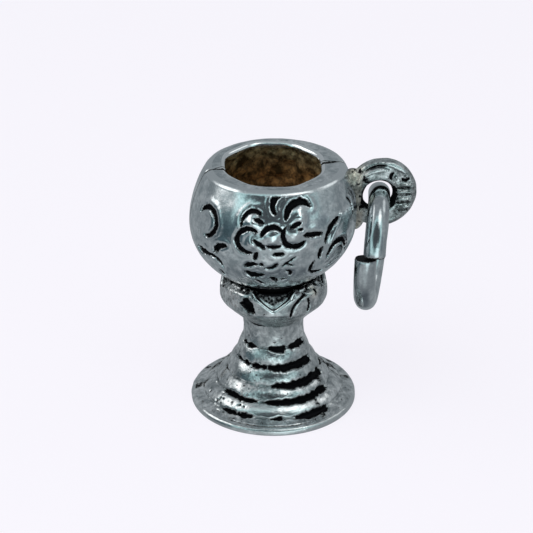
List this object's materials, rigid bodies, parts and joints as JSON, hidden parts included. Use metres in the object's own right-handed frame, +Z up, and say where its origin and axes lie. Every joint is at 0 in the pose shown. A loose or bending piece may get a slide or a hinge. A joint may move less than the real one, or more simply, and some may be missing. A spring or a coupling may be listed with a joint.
{
  "type": "goblet charm",
  "caption": "Small oxidised silver charm shaped as a Roemer goblet: carved hollow bowl, petal collar, ringed foot, a hanging eye on the side and an open jump ring.",
  "frame": {"origin": "centre of the foot's flat underside", "axes": "+Z up along the stem to the rim, +X from the axis to the hanging eye, -Y to the side that the picture shows"},
  "size_m": [0.0123, 0.0092, 0.014],
  "materials": {
    "bowl_silver": "polished silver, blackened in the carving, brown and rough inside",
    "stem_silver": "polished silver, blackened between the rings and petals, grainy casting skin",
    "eye_silver": "worn silver with dark pits and tan solder at the joint",
    "wire_silver": "drawn silver wire, polished, dark at the cut ends"
  },
  "bodies": {
    "root": {"bowl_front": "bowl_silver", "bowl_back": "bowl_silver", "stem_foot": "stem_silver", "hanging_eye": "eye_silver", "jump_ring": "wire_silver"}
  },
  "joints": []
}
